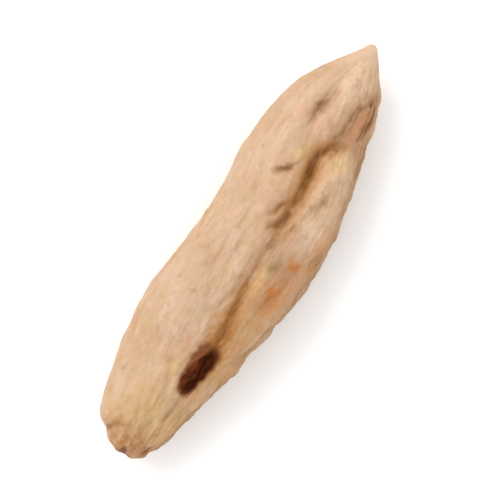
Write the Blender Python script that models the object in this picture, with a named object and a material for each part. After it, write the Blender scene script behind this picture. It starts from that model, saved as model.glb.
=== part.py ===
"""One dried ophiopogon root: a spindle-shaped tuber, blunt at one end and pointed at the other.

It is a single solid that lies along X, its blunt end at -X and its pointed tip at +X, on a small flat spot
of its belly. What a look from above shows (the outline, the long crease, the pit, the folds) is drawn on a
plan of the root, as distances along it from the blunt end and across it. Shallow valleys run down its sides
and belly, and drying wrinkles follow one rule all round it.
All sizes are in millimetres, and are turned to metres once, where the mesh is made.
"""

import math

import bpy
import numpy as np
from mathutils import Vector, noise

MM = 0.001

# Outline seen from above: distance along the root, then its left edge (+Y) and its right edge (-Y)
OUTLINE = (
    (0.00, 0.72, 0.72),
    (0.03, 1.00, 0.44),
    (0.16, 1.30, 0.13),
    (0.45, 1.70, -0.26),
    (0.90, 2.14, -0.54),
    (1.20, 2.52, -0.69),
    (2.20, 3.05, -0.95),
    (4.20, 3.53, -1.52),
    (6.50, 3.82, -2.12),
    (9.00, 3.88, -2.64),
    (11.40, 3.60, -3.10),
    (13.80, 3.22, -3.22),
    (15.60, 3.22, -3.14),
    (17.60, 3.36, -2.86),
    (19.60, 3.06, -2.28),
    (20.40, 2.90, -2.16),
    (21.80, 2.42, -2.00),
    (22.70, 1.86, -1.62),
    (23.70, 1.10, -0.96),
    (24.50, 0.52, -0.44),
    (24.90, 0.24, -0.12),
    (25.00, 0.06, 0.06),
)
LENGTH = OUTLINE[-1][0]

# Build from the side: how thick the root is for its width, and how high its axis runs; the belly is cut level at 0
THICKNESS_SHARE = 0.80
AXIS_HEIGHT = 2.52
BLUNT_END_DROOP = 0.35
TIP_DROOP = 0.10
SECTION_SQUARENESS = 2.2
RIGHT_LOBE_DROP = 0.30

# Scar at the blunt end, where the thin root broke off
SCAR_DEPTH = 0.22
SCAR_RADIUS = 0.42

# The level patch of the belly keeps its skin smooth between these distances along the root
BELLY_START = 8.0
BELLY_END = 17.0

# The long crease that parts the broad left lobe from the right one: along, across, depth
CREASE = (
    (6.60, -0.62, 0.80),
    (8.00, -0.62, 0.66),
    (9.60, -0.52, 0.52),
    (11.40, -0.42, 0.44),
    (13.00, -0.44, 0.38),
    (14.40, -0.48, 0.42),
    (15.80, -0.42, 0.70),
    (17.20, -0.34, 0.90),
    (18.10, -0.24, 0.86),
    (18.65, -0.20, 0.78),
    (19.05, -0.44, 0.60),
    (19.40, -0.86, 0.46),
    (19.80, -1.46, 0.24),
)
CREASE_STRAIGHT_POINTS = 10
CREASE_LEFT_WIDTH = 0.20
CREASE_RIGHT_WIDTH = 0.42

# Lesser folds of the upper side, each with its half-width: along, across, depth
FOLDS = (
    (0.22, ((16.40, 1.30, 0.04), (16.90, 0.98, 0.24), (17.20, 0.68, 0.34), (17.60, 0.46, 0.16), (18.40, 0.25, 0.05))),
    (0.30, ((19.50, 1.00, 0.05), (20.30, 0.92, 0.22), (20.90, 0.80, 0.34), (21.50, 0.64, 0.16), (22.40, 0.46, 0.03))),
    (0.20, ((14.50, 0.48, 0.05), (15.00, 0.18, 0.20), (15.50, -0.10, 0.22), (15.90, -0.34, 0.10))),
    (0.22, ((19.40, -0.66, 0.16), (20.30, -0.82, 0.26), (21.30, -0.90, 0.24), (22.10, -1.22, 0.18), (22.70, -1.56, 0.05))),
    (0.40, ((9.20, -1.35, 0.02), (11.00, -1.95, 0.16), (13.20, -2.30, 0.16), (15.20, -2.15, 0.02))),
    (0.70, ((13.00, 3.10, 0.12), (14.10, 2.40, 0.12), (15.10, 1.70, 0.04))),
    (0.24, ((1.00, 2.20, 0.16), (1.45, 1.60, 0.12), (1.50, 0.60, 0.10), (0.95, -0.30, 0.14))),
    (0.26, ((8.40, 1.20, 0.02), (10.60, 0.95, 0.10), (12.60, 0.85, 0.12), (14.20, 0.60, 0.02))),
)

# Hollows of the upper side: centre along and across, half-length, half-width, turn in degrees, depth
PIT = (5.86, -0.50, 1.66, 0.58, -10.0, 1.55)
TIP_HOLLOW = (21.05, -1.40, 1.20, 0.48, -12.0, 0.36)
HOLLOW_STEEPNESS = 6

# Valleys of the sides and belly: angle round at each end, start, end, depth, half-width
VALLEYS = (
    (24.0, 8.0, 2.0, 17.5, 0.24, 0.50),
    (338.0, 348.0, 6.0, 24.0, 0.36, 0.55),
    (304.0, 296.0, 1.0, 13.0, 0.36, 0.50),
    (318.0, 312.0, 11.0, 24.0, 0.24, 0.45),
    (232.0, 244.0, 1.0, 13.0, 0.32, 0.50),
    (214.0, 222.0, 8.5, 24.0, 0.42, 0.55),
    (192.0, 186.0, 1.0, 10.0, 0.22, 0.40),
)

# Drying wrinkles: how deep, how far apart, how long, and how they wander and spiral. Two readings of the same
# noise, this shift apart, steer the wander; noise_vector would not do, as it starts anew in each session.
WRINKLE_DEPTH = 0.26
WRINKLE_SPACING = 1.7
WRINKLE_LENGTH = 9.0
WRINKLE_WANDER = 0.8
WRINKLE_WANDER_SPACING = 4.5
WRINKLE_WANDER_SHIFT = Vector((9.3, -1.5, -7.9))
WRINKLE_TWIST = math.radians(1.6)
SKIN_RADIUS = 3.0
SMOOTH_LOBE_SHARE = 0.45

# Broad lumps under the wrinkles
LUMP_HEIGHT = 0.16
LUMP_SPACING = 3.2

# The mesh: rings along the root, points round each ring, and how closely these gather at the crease
RINGS = 98
SEGMENTS = 54
CREASE_GATHERING = 0.55
CREASE_REACH = 0.55
SKIN_COLOUR = (0.76, 0.53, 0.31, 1.0)
SKIN_ROUGHNESS = 0.62


def clear_scene():
    for thing in list(bpy.data.objects):
        bpy.data.objects.remove(thing)


def eased(value, low, high):
    """0 below low, 1 above high, and a smooth rise between them."""
    share = np.clip((value - low) / (high - low), 0.0, 1.0)
    return share * share * (3.0 - 2.0 * share)


def smooth_through(places, values, at):
    """The smooth curve through values at places, read at the given places, by a cubic on each span."""
    places, values = np.asarray(places), np.asarray(values)
    slopes = np.gradient(values, places)
    span = np.clip(np.searchsorted(places, at, side="right") - 1, 0, len(places) - 2)
    width = places[span + 1] - places[span]
    t = (at - places[span]) / width
    rise = t * t * (3.0 - 2.0 * t)
    start_pull = t * (1.0 - t) ** 2 * width * slopes[span]
    end_pull = t * t * (t - 1.0) * width * slopes[span + 1]
    return values[span] * (1.0 - rise) + values[span + 1] * rise + start_pull + end_pull


def spindle(count):
    """Distance along, centre across and half-width of count rings, spaced evenly over the outline's own length."""
    along, left, right = np.array(OUTLINE).T
    half_width = (left - right) / 2.0
    travelled = np.concatenate([[0.0], np.cumsum(np.hypot(np.diff(along), np.diff(half_width)))])
    at = np.linspace(0.0, travelled[-1], count)
    rings = [smooth_through(travelled, row, at) for row in (along, (left + right) / 2.0, half_width)]
    rings[2][[0, -1]] = 0.0
    return rings


def ring_angles(ring_along, ring_centre, ring_half_width, segment_count):
    """Angles round each ring from its left side; they gather at the crease and follow it along the root."""
    crease_along, crease_across, _ = np.array(CREASE[:CREASE_STRAIGHT_POINTS]).T
    across = np.interp(ring_along, crease_along, crease_across)
    share = np.clip((across - ring_centre) / np.maximum(ring_half_width, 1.0), -CREASE_REACH, 0.0)
    crease_angle = np.arccos(share)[:, None]
    turns = np.arange(segment_count)[None, :] * 2.0 * math.pi / segment_count
    return crease_angle + turns - CREASE_GATHERING * np.sin(turns)


def axis_height(along):
    """The height of the root's axis, which sinks a little towards both ends."""
    from_middle = along / (LENGTH / 2.0) - 1.0
    droop = np.where(from_middle < 0.0, BLUNT_END_DROOP, TIP_DROOP)
    return AXIS_HEIGHT - droop * from_middle**2


def rounded(path, steps=4):
    """The points of a path with more points between them on a smooth curve."""
    rows = np.array(path).T
    travelled = np.concatenate([[0.0], np.cumsum(np.hypot(np.diff(rows[0]), np.diff(rows[1])))])
    at = np.interp(np.arange((len(path) - 1) * steps + 1) / steps, np.arange(len(path)), travelled)
    return np.stack([smooth_through(travelled, row, at) for row in rows], axis=-1)


def beside_path(path, along, across):
    """For points of the plan: distance to a drawn path, on which side of it they lie (+1 left), and its depth there."""
    nearest = np.full(along.shape, np.inf)
    side = np.ones(along.shape)
    depth = np.zeros(along.shape)
    path = rounded(path)
    for (x0, y0, d0), (x1, y1, d1) in zip(path, path[1:]):
        run, rise = x1 - x0, y1 - y0
        t = np.clip(((along - x0) * run + (across - y0) * rise) / (run * run + rise * rise), 0.0, 1.0)
        off_along, off_across = along - x0 - t * run, across - y0 - t * rise
        distance = np.hypot(off_along, off_across)
        closer = distance < nearest
        nearest = np.where(closer, distance, nearest)
        side = np.where(closer, np.sign(run * off_across - rise * off_along), side)
        depth = np.where(closer, d0 + t * (d1 - d0), depth)
    return nearest, side, depth


def hollow(shape, along, across):
    """How deep an oval hollow with a level floor and steep sides is at points of the plan."""
    centre_along, centre_across, half_length, half_width, turn, depth = shape
    c, s = math.cos(math.radians(turn)), math.sin(math.radians(turn))
    u = ((along - centre_along) * c + (across - centre_across) * s) / half_length
    v = ((across - centre_across) * c - (along - centre_along) * s) / half_width
    return depth * np.exp(-(np.hypot(u, v) ** HOLLOW_STEEPNESS))


def upper_drop(along, across):
    """How far the crease, the folds and the hollows lower the upper side at points of the plan."""
    distance, side, depth = beside_path(CREASE, along, across)
    width = np.where(side > 0.0, CREASE_LEFT_WIDTH, CREASE_RIGHT_WIDTH)
    drop = depth * np.exp(-((distance / width) ** 1.3))
    drop += 0.3 * depth * np.exp(-((distance / (3.0 * width)) ** 2))
    for half_width, path in FOLDS:
        distance, side, depth = beside_path(path, along, across)
        drop += depth * np.exp(-((distance / half_width) ** 1.6))
    return drop + hollow(PIT, along, across) + hollow(TIP_HOLLOW, along, across)


def valley_depth(along, angle):
    """How far the valleys of the sides and belly pull the surface in."""
    depth_here = np.zeros(along.shape)
    for first_angle, last_angle, start, end, depth, half_width in VALLEYS:
        share = np.clip((along - start) / (end - start), 0.0, 1.0)
        middle = np.radians(first_angle + share * (last_angle - first_angle)) + 0.06 * np.sin(along * 1.1)
        off = (angle - middle + math.pi) % (2.0 * math.pi) - math.pi
        fade = np.sin(math.pi * share) ** 1.5
        depth_here += depth * fade * np.exp(-((np.abs(off) * SKIN_RADIUS / half_width) ** 1.5))
    return depth_here


def wrinkle_height(along, angle):
    """Rounded ridges with sharp valleys between them that run along the root, about zero on average."""
    turned = angle + WRINKLE_TWIST * along
    height = np.empty(along.shape)
    for index in np.ndindex(along.shape):
        x, y, z = along[index], SKIN_RADIUS * math.cos(turned[index]), SKIN_RADIUS * math.sin(turned[index])
        at = Vector((x, y, z)) / WRINKLE_WANDER_SPACING
        y += WRINKLE_WANDER * noise.noise(at)
        z += WRINKLE_WANDER * noise.noise(at + WRINKLE_WANDER_SHIFT)
        place = Vector((x / WRINKLE_LENGTH, y / WRINKLE_SPACING, z / WRINKLE_SPACING))
        height[index] = abs(noise.noise(place)) ** 0.8 * 2.0 - 0.6
    return height * WRINKLE_DEPTH


def lump_height(along, angle):
    """Broad soft lumps, about zero on average."""
    height = np.empty(along.shape)
    for index in np.ndindex(along.shape):
        y, z = SKIN_RADIUS * math.cos(angle[index]), SKIN_RADIUS * math.sin(angle[index])
        height[index] = noise.noise(Vector((along[index] + 20.0, y, z)) / LUMP_SPACING)
    return height * LUMP_HEIGHT


def root_surface(ring_count, segment_count):
    """Points of the root's surface in millimetres, ring by ring from the blunt end; the end rings are single points."""
    ring_along, ring_centre, ring_half_width = spindle(ring_count)
    angle = ring_angles(ring_along, ring_centre, ring_half_width, segment_count)
    along = np.broadcast_to(ring_along[:, None], angle.shape)
    half_width = np.broadcast_to(ring_half_width[:, None], angle.shape)
    power = 2.0 / SECTION_SQUARENESS
    out_across = np.sign(np.cos(angle)) * np.abs(np.cos(angle)) ** power
    out_up = np.sign(np.sin(angle)) * np.abs(np.sin(angle)) ** power

    plumpness = eased(half_width, 0.2, 2.2)
    upper = eased(np.sin(angle), 0.05, 0.45)
    belly = eased(along, BELLY_START, BELLY_START + 2.0) * eased(-along, -BELLY_END, 2.0 - BELLY_END)
    belly = belly * eased(-np.sin(angle), 0.86, 0.96)
    smooth_lobe = upper * eased(np.cos(angle), -0.2, 0.3)
    rough = (1.0 - belly) * (1.0 - (1.0 - SMOOTH_LOBE_SHARE) * smooth_lobe)
    swell = wrinkle_height(along, angle) * rough + lump_height(along, angle) * (1.0 - belly)
    swell = plumpness * (swell - valley_depth(along, angle))

    across = ring_centre[:, None] + (half_width + swell) * out_across
    height = axis_height(along) + (THICKNESS_SHARE * half_width + swell) * out_up
    height -= plumpness * RIGHT_LOBE_DROP * upper * eased(-np.cos(angle), 0.0, 0.7)
    height -= plumpness * upper * upper_drop(along, across)
    height = np.maximum(height, 0.0)
    scar = np.where(along < 1.0, SCAR_DEPTH * np.exp(-((half_width / SCAR_RADIUS) ** 2)), 0.0)
    return np.stack([along + scar, across, height], axis=-1)


def centred(points):
    """The points moved so that the outline is centred on the origin, which stays on the resting surface."""
    left, right = np.array(OUTLINE).T[1:]
    middle = np.array([LENGTH / 2.0, (left.max() + right.min()) / 2.0, 0.0])
    return points - middle


def mesh_of(surface):
    """A closed mesh in metres over the rings of a surface, with a fan of triangles at each end."""
    ring_count, segment_count = surface.shape[:2]
    inner = surface[1:-1].reshape(-1, 3)
    points = np.vstack([surface[0, 0], inner, surface[-1, 0]]) * MM
    blunt_pole, tip_pole = 0, len(points) - 1
    faces = []
    for i in range(segment_count):
        j = (i + 1) % segment_count
        faces.append((blunt_pole, 1 + j, 1 + i))
        for ring in range(ring_count - 3):
            low, high = 1 + ring * segment_count, 1 + (ring + 1) * segment_count
            faces.append((low + i, low + j, high + j))
            faces.append((low + i, high + j, high + i))
        last = 1 + (ring_count - 3) * segment_count
        faces.append((last + i, last + j, tip_pole))
    mesh = bpy.data.meshes.new("ophiopogon_root")
    mesh.from_pydata(points.tolist(), [], faces)
    mesh.shade_smooth()
    return mesh


def skin_material():
    material = bpy.data.materials.new("root_skin")
    material.use_nodes = True
    shader = material.node_tree.nodes["Principled BSDF"]
    shader.inputs["Base Color"].default_value = SKIN_COLOUR
    shader.inputs["Roughness"].default_value = SKIN_ROUGHNESS
    return material


def main():
    clear_scene()
    mesh = mesh_of(centred(root_surface(RINGS, SEGMENTS)))
    mesh.materials.append(skin_material())
    root = bpy.data.objects.new("ophiopogon_root", mesh)
    bpy.context.scene.collection.objects.link(root)


main()
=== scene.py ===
# %% [markdown]
# # One dried ophiopogon root
#
# The object is a small tuber, dug up, washed and dried whole. It is a spindle about 25 mm long: blunt where the
# thin root broke off, pointed at the other end, and shrunk into folds as it dried. Seen from above it has a broad
# smooth lobe, a narrower rough one, a long crease between the two, and a dark pit near the blunt end.
#
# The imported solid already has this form, but its faces are coarse. This script grows the same form again in a
# much finer mesh, lets Geometry Nodes carve the crease, the folds, the pit and the fine wrinkles into it, and
# gives it a skin made of shader nodes. Lengths inside the making are in millimetres.

import math

import bpy
import numpy as np
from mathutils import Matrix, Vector, noise


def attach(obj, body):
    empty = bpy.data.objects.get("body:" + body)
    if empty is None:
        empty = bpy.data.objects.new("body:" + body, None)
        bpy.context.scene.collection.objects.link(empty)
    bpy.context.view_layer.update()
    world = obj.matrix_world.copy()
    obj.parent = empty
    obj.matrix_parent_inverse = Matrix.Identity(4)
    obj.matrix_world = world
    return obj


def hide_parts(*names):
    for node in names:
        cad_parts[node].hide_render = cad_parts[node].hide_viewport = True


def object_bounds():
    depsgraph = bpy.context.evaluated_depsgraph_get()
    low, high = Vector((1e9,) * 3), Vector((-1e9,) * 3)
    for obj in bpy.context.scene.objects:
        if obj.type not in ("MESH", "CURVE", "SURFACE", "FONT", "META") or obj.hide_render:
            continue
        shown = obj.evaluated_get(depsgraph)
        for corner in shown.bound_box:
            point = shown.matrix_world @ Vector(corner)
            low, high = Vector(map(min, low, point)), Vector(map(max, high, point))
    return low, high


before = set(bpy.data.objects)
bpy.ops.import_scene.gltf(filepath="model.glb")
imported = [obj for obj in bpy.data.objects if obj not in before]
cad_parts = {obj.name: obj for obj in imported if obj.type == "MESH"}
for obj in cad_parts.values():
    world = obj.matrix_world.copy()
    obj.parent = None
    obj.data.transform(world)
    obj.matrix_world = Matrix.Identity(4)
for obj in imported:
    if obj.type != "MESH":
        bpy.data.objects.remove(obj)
cad_low, cad_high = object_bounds()
MM = 0.001
CAD_NODE = "ophiopogon_root"
print("solid, mm:", [round(side / MM, 2) for side in cad_high - cad_low])

# %% [markdown]
# ## Camera
#
# The photograph looks straight down, and this root leans in it with its pointed tip to the upper right. So the
# camera hangs over the root, looks down, and is turned about its own axis by that lean. It stands far back with
# a long lens, as a product photographer's would, so the thin ends are not stretched.

# %% Hang the camera over the root
ROOT_LENGTH = cad_high.x - cad_low.x
LEAN_IN_VIEW = math.radians(59.8)
VIEW_WIDTH = 1.04 * ROOT_LENGTH
CAMERA_DISTANCE = 14.0 * ROOT_LENGTH
SENSOR_WIDTH = 36.0
NEAREST_SHARE = 0.01

camera_data = bpy.data.cameras.new("camera_above")
camera_data.sensor_width = SENSOR_WIDTH
camera_data.lens = SENSOR_WIDTH * CAMERA_DISTANCE / VIEW_WIDTH
camera_data.clip_start = CAMERA_DISTANCE * NEAREST_SHARE
camera = bpy.data.objects.new("camera_above", camera_data)
camera.location = (cad_low + cad_high) / 2 + Vector((0.0, 0.0, CAMERA_DISTANCE))
camera.rotation_euler = (0.0, 0.0, -LEAN_IN_VIEW)
bpy.context.scene.collection.objects.link(camera)
bpy.context.scene.camera = camera
print("lens, mm:", round(camera_data.lens))

# %% [markdown]
# ## Light and floor
#
# The photograph is evenly lit on a white ground, with the light a little stronger from its upper left: the root's
# left edge is pale and its right flank a shade darker. A wide sun gives that direction and soft shadows whatever
# the object's size, and a white world fills the rest. Positions are given along the view's own right and up.

# %% Light the root from the upper left of the view
VIEW_RIGHT = Vector((math.cos(LEAN_IN_VIEW), -math.sin(LEAN_IN_VIEW), 0.0))
VIEW_UP = Vector((math.sin(LEAN_IN_VIEW), math.cos(LEAN_IN_VIEW), 0.0))
UP = Vector((0.0, 0.0, 1.0))
WORLD_STRENGTH = 1.12


def add_sun(name, strength, spread_degrees, from_right, from_up, from_above):
    """A sun whose light comes from the given side of the view."""
    data = bpy.data.lights.new(name, "SUN")
    data.energy = strength
    data.angle = math.radians(spread_degrees)
    sun = bpy.data.objects.new(name, data)
    towards = VIEW_RIGHT * from_right + VIEW_UP * from_up + UP * from_above
    sun.rotation_euler = towards.to_track_quat("Z", "Y").to_euler()
    bpy.context.scene.collection.objects.link(sun)
    return sun


add_sun("window_upper_left", strength=1.25, spread_degrees=40.0, from_right=-0.9, from_up=0.9, from_above=1.25)

world = bpy.data.worlds.new("white_room")
world.use_nodes = True
background = world.node_tree.nodes["Background"]
background.inputs["Color"].default_value = (1.0, 1.0, 1.0, 1.0)
background.inputs["Strength"].default_value = WORLD_STRENGTH
bpy.context.scene.world = world
bpy.context.scene.view_settings.view_transform = "Standard"
print("lamps:", len(bpy.data.lights), "and a world of strength", WORLD_STRENGTH)

# %% Lay a white floor under it
FLOOR_SIDE = 1.0
PAPER_TONE = 251
PAPER_ROUGHNESS = 0.9


def srgb(red, green, blue):
    """A colour as a screen shows it, 0 to 255 each, turned to the linear values that shaders use."""
    shares = [value / 255.0 for value in (red, green, blue)]
    linear = [s / 12.92 if s <= 0.04045 else ((s + 0.055) / 1.055) ** 2.4 for s in shares]
    return (*linear, 1.0)


floor_mesh = bpy.data.meshes.new("floor")
half = FLOOR_SIDE / 2
floor_mesh.from_pydata([(-half, -half, 0), (half, -half, 0), (half, half, 0), (-half, half, 0)], [], [(0, 1, 2, 3)])
floor = bpy.data.objects.new("floor", floor_mesh)
bpy.context.scene.collection.objects.link(floor)
paper = bpy.data.materials.new("white_paper")
paper.use_nodes = True
paper_shader = paper.node_tree.nodes["Principled BSDF"]
paper_shader.inputs["Base Color"].default_value = srgb(PAPER_TONE, PAPER_TONE, PAPER_TONE)
paper_shader.inputs["Roughness"].default_value = PAPER_ROUGHNESS
floor_mesh.materials.append(paper)
print("floor, m:", FLOOR_SIDE)

# %% [markdown]
# ## The spindle
#
# A tuber has no straight line in it, so it is best drawn as its outline from above: how far its left and right
# edges lie from a straight line along it, at a few places. A smooth curve through those places gives every ring
# its centre and half-width. The rings are spaced evenly over the outline's own length, which makes both ends
# close round. The other way, scaling a sphere, would give a lemon with none of the real root's bends.

# %% Draw the outline
# Distance along the root from its blunt end, then its left edge and its right edge
OUTLINE = (
    (0.00, 0.72, 0.72),
    (0.03, 1.00, 0.44),
    (0.16, 1.30, 0.13),
    (0.45, 1.70, -0.26),
    (0.90, 2.14, -0.54),
    (1.20, 2.52, -0.69),
    (2.20, 3.05, -0.95),
    (4.20, 3.53, -1.52),
    (6.50, 3.82, -2.12),
    (9.00, 3.88, -2.64),
    (11.40, 3.60, -3.10),
    (13.80, 3.22, -3.22),
    (15.60, 3.22, -3.14),
    (17.60, 3.36, -2.86),
    (19.60, 3.06, -2.28),
    (20.40, 2.90, -2.16),
    (21.80, 2.42, -2.00),
    (22.70, 1.86, -1.62),
    (23.70, 1.10, -0.96),
    (24.50, 0.52, -0.44),
    (24.90, 0.24, -0.12),
    (25.00, 0.06, 0.06),
)
LENGTH = OUTLINE[-1][0]
print("outline:", len(OUTLINE), "places over", LENGTH, "mm")


# %% Read rings from the outline
def smooth_through(places, values, at):
    """The smooth curve through values at places, read at the given places, by a cubic on each span."""
    places, values = np.asarray(places), np.asarray(values)
    slopes = np.gradient(values, places)
    span = np.clip(np.searchsorted(places, at, side="right") - 1, 0, len(places) - 2)
    width = places[span + 1] - places[span]
    t = (at - places[span]) / width
    rise = t * t * (3.0 - 2.0 * t)
    start_pull = t * (1.0 - t) ** 2 * width * slopes[span]
    end_pull = t * t * (t - 1.0) * width * slopes[span + 1]
    return values[span] * (1.0 - rise) + values[span + 1] * rise + start_pull + end_pull


def distances_on(x, y):
    """How far along its own length each point of a line lies."""
    return np.concatenate([[0.0], np.cumsum(np.hypot(np.diff(x), np.diff(y)))])


def spindle(count):
    """Distance along, centre across and half-width of each ring."""
    along, left, right = np.array(OUTLINE).T
    half_width = (left - right) / 2.0
    travelled = distances_on(along, half_width)
    at = np.linspace(0.0, travelled[-1], count)
    rings = [smooth_through(travelled, row, at) for row in (along, (left + right) / 2.0, half_width)]
    rings[2][[0, -1]] = 0.0
    return rings


print("widest, mm:", round(2.0 * spindle(200)[2].max(), 2))

# %% [markdown]
# ## The crease, drawn as a path
#
# One long crease parts the broad lobe from the narrow one. It starts in the pit, wanders near the middle line,
# deepens towards the pointed end and turns off to the right there. It is drawn on the same plan as the outline,
# with a depth at each place. It comes before the mesh, because the mesh's points gather along it.

# %% Draw the crease
# Along, across, depth and stain, and how wide it is there beside its usual width
CREASE = (
    (6.60, -0.62, 0.90, 0.90, 1.6),
    (8.00, -0.62, 0.85, 1.00, 1.6),
    (9.60, -0.52, 0.72, 0.80, 1.2),
    (11.40, -0.42, 0.55, 0.45, 0.9),
    (13.00, -0.44, 0.48, 0.26, 0.8),
    (14.40, -0.48, 0.52, 0.30, 0.9),
    (15.80, -0.42, 0.85, 0.80, 1.2),
    (17.20, -0.34, 1.10, 1.00, 1.2),
    (18.10, -0.24, 1.10, 1.00, 1.2),
    (18.65, -0.20, 1.05, 1.00, 1.3),
    (19.05, -0.44, 0.85, 0.85, 1.2),
    (19.40, -0.86, 0.64, 0.55, 1.0),
    (19.80, -1.46, 0.28, 0.25, 0.8),
)
CREASE_LEFT_WIDTH = 0.22
CREASE_RIGHT_WIDTH = 0.44
CREASE_STRAIGHT_POINTS = 10
CREASE_GATHERING = 0.55
CREASE_REACH = 0.55
LEAST_HALF_WIDTH = 1.0


def ring_angles(ring_along, ring_centre, ring_half_width, segment_count):
    """Angles round each ring from its left side; they gather at the crease and follow it along the root."""
    crease_along, crease_across = np.array(CREASE[:CREASE_STRAIGHT_POINTS]).T[:2]
    across = np.interp(ring_along, crease_along, crease_across)
    share = np.clip((across - ring_centre) / np.maximum(ring_half_width, LEAST_HALF_WIDTH), -CREASE_REACH, 0.0)
    crease_angle = np.arccos(share)[:, None]
    turns = np.arange(segment_count)[None, :] * 2.0 * math.pi / segment_count
    return crease_angle + turns - CREASE_GATHERING * np.sin(turns)


print("crease, mm long:", round(distances_on(*np.array(CREASE).T[:2])[-1], 1))

# %% [markdown]
# ## How it dried
#
# As the flesh lost its water the skin had to go somewhere: it sank into a few shallow valleys down the sides and
# belly, and into finer wrinkles that run the length of the root. The valleys are placed one by one. The wrinkles
# follow a rule, noise that is stretched along the root and folded at zero, so that ridges are round and the
# valleys between them sharp. Two more readings of the same noise make them wander; Blender's vector noise would do
# both in one, but it starts anew in each session. Sculpting by hand would take longer and could not be changed.

# %% Valleys of the sides and belly
# Angle round at each end, start, end, depth, half-width
VALLEYS = (
    (24.0, 8.0, 2.0, 17.5, 0.24, 0.50),
    (338.0, 348.0, 6.0, 24.0, 0.36, 0.55),
    (304.0, 296.0, 1.0, 13.0, 0.36, 0.50),
    (318.0, 312.0, 11.0, 24.0, 0.24, 0.45),
    (232.0, 244.0, 1.0, 13.0, 0.32, 0.50),
    (214.0, 222.0, 8.5, 24.0, 0.42, 0.55),
    (192.0, 186.0, 1.0, 10.0, 0.22, 0.40),
)
SKIN_RADIUS = 3.0
VALLEY_SWAY = 0.06
VALLEY_SWAY_RATE = 1.1
VALLEY_POWER = 1.5


def valley_depth(along, angle):
    """How far the valleys pull the surface in."""
    depth_here = np.zeros(along.shape)
    for first_angle, last_angle, start, end, depth, half_width in VALLEYS:
        share = np.clip((along - start) / (end - start), 0.0, 1.0)
        middle = np.radians(first_angle + share * (last_angle - first_angle))
        middle = middle + VALLEY_SWAY * np.sin(along * VALLEY_SWAY_RATE)
        off = (angle - middle + math.pi) % (2.0 * math.pi) - math.pi
        fade = np.sin(math.pi * share) ** VALLEY_POWER
        depth_here += depth * fade * np.exp(-((np.abs(off) * SKIN_RADIUS / half_width) ** VALLEY_POWER))
    return depth_here


print("valleys:", len(VALLEYS))

# %% Wrinkles and lumps by rule
WRINKLE_DEPTH = 0.26
WRINKLE_SPACING = 1.7
WRINKLE_LENGTH = 9.0
WRINKLE_WANDER = 0.8
WRINKLE_WANDER_SPACING = 4.5
WRINKLE_WANDER_SHIFT = Vector((9.3, -1.5, -7.9))
WRINKLE_TWIST = math.radians(1.6)
# Folded noise is raised to this power, stretched to about 0 to 1, and lowered by its average
WRINKLE_POWER = 0.8
WRINKLE_STRETCH = 2.0
WRINKLE_AVERAGE = 0.6
LUMP_HEIGHT = 0.16
LUMP_SPACING = 3.2
LUMP_SHIFT = 20.0


def wrinkle_height(along, angle):
    """Rounded ridges with sharp valleys between them that run along the root, about zero on average."""
    turned = angle + WRINKLE_TWIST * along
    height = np.empty(along.shape)
    for index in np.ndindex(along.shape):
        x, y, z = along[index], SKIN_RADIUS * math.cos(turned[index]), SKIN_RADIUS * math.sin(turned[index])
        at = Vector((x, y, z)) / WRINKLE_WANDER_SPACING
        y += WRINKLE_WANDER * noise.noise(at)
        z += WRINKLE_WANDER * noise.noise(at + WRINKLE_WANDER_SHIFT)
        place = Vector((x / WRINKLE_LENGTH, y / WRINKLE_SPACING, z / WRINKLE_SPACING))
        height[index] = abs(noise.noise(place)) ** WRINKLE_POWER * WRINKLE_STRETCH - WRINKLE_AVERAGE
    return height * WRINKLE_DEPTH


def lump_height(along, angle):
    """Broad soft lumps, about zero on average."""
    height = np.empty(along.shape)
    for index in np.ndindex(along.shape):
        y, z = SKIN_RADIUS * math.cos(angle[index]), SKIN_RADIUS * math.sin(angle[index])
        height[index] = noise.noise(Vector((along[index] + LUMP_SHIFT, y, z)) / LUMP_SPACING)
    return height * LUMP_HEIGHT


print("wrinkles about", WRINKLE_SPACING, "mm apart and", WRINKLE_LENGTH, "mm long")

# %% [markdown]
# ## The bare root
#
# Now the rings become a surface: at each point of a rounded section the valleys pull in and the wrinkles push
# out. The belly stays level where the root lies on the table, the narrow lobe sits a little lower than the broad
# one, and the blunt end has a small scar. Numbers that the next steps need are stored on the points as named
# attributes: the place on the plan, the place on the unrolled skin, and how much a point belongs to the upper side.

# %% The height of its axis
AXIS_HEIGHT = 2.52
BLUNT_END_DROOP = 0.35
TIP_DROOP = 0.10


def eased(value, low, high):
    """0 below low, 1 above high, and a smooth rise between them."""
    share = np.clip((value - low) / (high - low), 0.0, 1.0)
    return share * share * (3.0 - 2.0 * share)


def axis_height(along):
    """The height of the root's axis, which sinks a little towards both ends."""
    from_middle = along / (LENGTH / 2.0) - 1.0
    droop = np.where(from_middle < 0.0, BLUNT_END_DROOP, TIP_DROOP)
    return AXIS_HEIGHT - droop * from_middle**2


print("axis at both ends and the middle, mm:", axis_height(np.array([0.0, LENGTH, LENGTH / 2.0])).round(2))

# %% The blunt end: a scar, torn fibres and a slight neck
SCAR_DEPTH = 0.22
SCAR_RADIUS = 0.42
SCAR_WIDTH = 0.62
SCAR_REACH = 1.0
TEAR_DEPTH = 0.10
TEAR_SPACING = 0.45
TEAR_REACH = 0.6
TEAR_MIDDLE = 0.6
FINE_TEAR_SHARE = 0.5
FINE_TEAR_RATE = 3.0
# Two slices through the noise that don't touch
TEAR_SLICE = 4.0
FINE_TEAR_SLICE = 9.0
NECK = 1.00
NECK_SWAY = 0.25
NECK_HALF_LENGTH = 0.22
NECK_DEPTH = 0.13


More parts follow.
